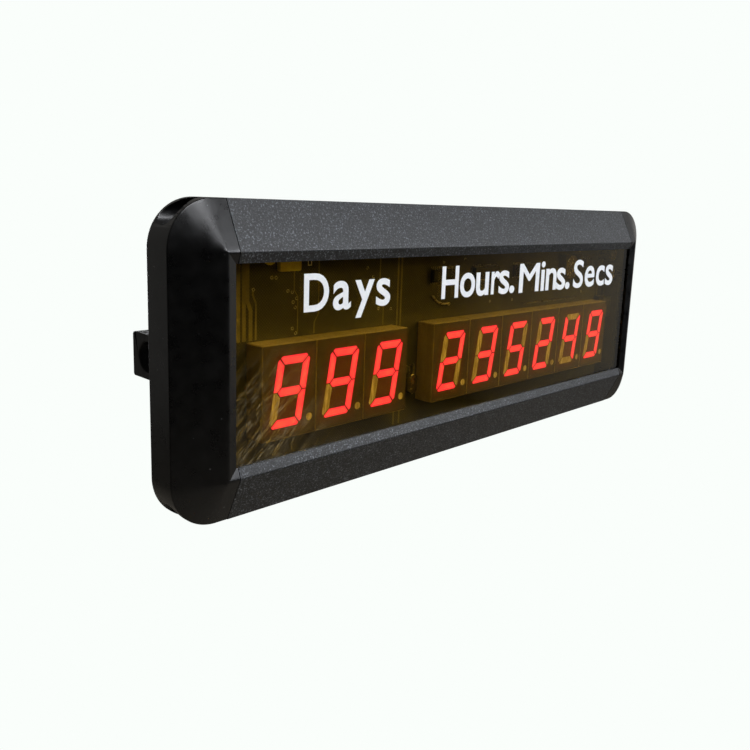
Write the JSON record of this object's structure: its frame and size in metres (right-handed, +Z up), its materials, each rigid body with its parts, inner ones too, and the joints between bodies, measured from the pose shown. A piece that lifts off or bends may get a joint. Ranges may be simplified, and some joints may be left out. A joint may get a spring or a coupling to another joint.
{
  "type": "gym round timer",
  "caption": "Shallow wall-hung LED timer: open aluminium profile, moulded end caps, amber window over slanted red seven-bar digits, rear hanging lugs, side push buttons.",
  "frame": {"origin": "centre of the housing's flat back face", "axes": "+X to the viewer's right along the timer, +Y out of the back towards the wall, +Z up; the display faces -Y"},
  "size_m": [0.3025, 0.043, 0.1076],
  "materials": {
    "powder_coated_profile": "dark grey fine-texture powder coat",
    "black_cap_plastic": "satin moulded ABS",
    "amber_acrylic": "polished transparent sheet",
    "white_print": "screen-printed ink",
    "module_plastic": "moulded",
    "lit_red": "glowing epoxy",
    "unlit_epoxy": "clear-tinted epoxy",
    "board_laminate": "glass-epoxy laminate with solder mask",
    "chip_epoxy": "moulded epoxy",
    "yellow_film": "lacquered",
    "tinned_copper": "tinned",
    "capacitor_sleeve": "shrink sleeve",
    "nickel_can": "drawn and plated",
    "zinc_plated_steel": "bright zinc plate",
    "brass_insert": "knurled",
    "bracket_plastic": "moulded nylon",
    "button_plastic": "fine spark-eroded texture",
    "grey_ribbon": "PVC insulation",
    "red_lead": "PVC insulation"
  },
  "bodies": {
    "housing": {"housing_profile": "powder_coated_profile", "left_end_cap": "black_cap_plastic", "right_end_cap": "black_cap_plastic", "cap_screws": "zinc_plated_steel", "window_pane": "amber_acrylic", "unit_legends": "white_print", "left_bracket": "bracket_plastic", "right_bracket": "bracket_plastic", "bracket_screws": "zinc_plated_steel", "threaded_inserts": "brass_insert", "main_board": "board_laminate", "digit_pins": "tinned_copper", "controller_chip": "chip_epoxy", "driver_chips": "chip_epoxy", "voltage_regulator": "chip_epoxy", "smoothing_capacitors": "capacitor_sleeve", "film_capacitor": "yellow_film", "ceramic_resonator": "yellow_film", "clock_crystal": "nickel_can", "header_pins": "tinned_copper", "battery_holder": "chip_epoxy", "coin_cell": "nickel_can", "infrared_receiver": "chip_epoxy", "control_board": "board_laminate", "tactile_switches": "chip_epoxy", "power_switch_frame": "button_plastic", "power_inlet": "chip_epoxy", "inlet_contact": "tinned_copper", "ribbon_header": "chip_epoxy", "control_ribbon": "grey_ribbon", "sounder": "chip_epoxy", "sounder_leads": "red_lead", "dark_bars_and_points": "unlit_epoxy", "digit_1_shell": "module_plastic", "digit_1_lit_bars": "lit_red", "digit_2_shell": "module_plastic", "digit_2_lit_bars": "lit_red", "digit_3_shell": "module_plastic", "digit_3_lit_bars": "lit_red", "digit_4_shell": "module_plastic", "digit_4_lit_bars": "lit_red", "digit_5_shell": "module_plastic", "digit_5_lit_bars": "lit_red", "digit_6_shell": "module_plastic", "digit_6_lit_bars": "lit_red", "digit_7_shell": "module_plastic", "digit_7_lit_bars": "lit_red", "digit_8_shell": "module_plastic", "digit_8_lit_bars": "lit_red", "digit_9_shell": "module_plastic", "digit_9_lit_bars": "lit_red"},
    "set_button_body": {"set_button": "button_plastic", "set_plunger": "chip_epoxy"},
    "up_button_body": {"up_button": "button_plastic", "up_plunger": "chip_epoxy"},
    "down_button_body": {"down_button": "button_plastic", "down_plunger": "chip_epoxy"},
    "rocker_body": {"power_rocker": "button_plastic"}
  },
  "joints": [
    {"name": "set_button_press", "type": "slide", "parent": "housing", "child": "set_button_body", "axis": [-1, 0, 0], "range_m": [0, 0.0005], "stiffness_N_per_m": 1600, "springref_m": -0.0006},
    {"name": "up_button_press", "type": "slide", "parent": "housing", "child": "up_button_body", "axis": [-1, 0, 0], "range_m": [0, 0.0005], "stiffness_N_per_m": 1600, "springref_m": -0.0006},
    {"name": "down_button_press", "type": "slide", "parent": "housing", "child": "down_button_body", "axis": [-1, 0, 0], "range_m": [0, 0.0005], "stiffness_N_per_m": 1600, "springref_m": -0.0006},
    {"name": "power_rocker_tilt", "type": "hinge", "parent": "housing", "child": "rocker_body", "pos_m": [0.1484, -0.0065, 0.028], "axis": [0, 1, 0], "range_deg": [-16, 0]}
  ]
}
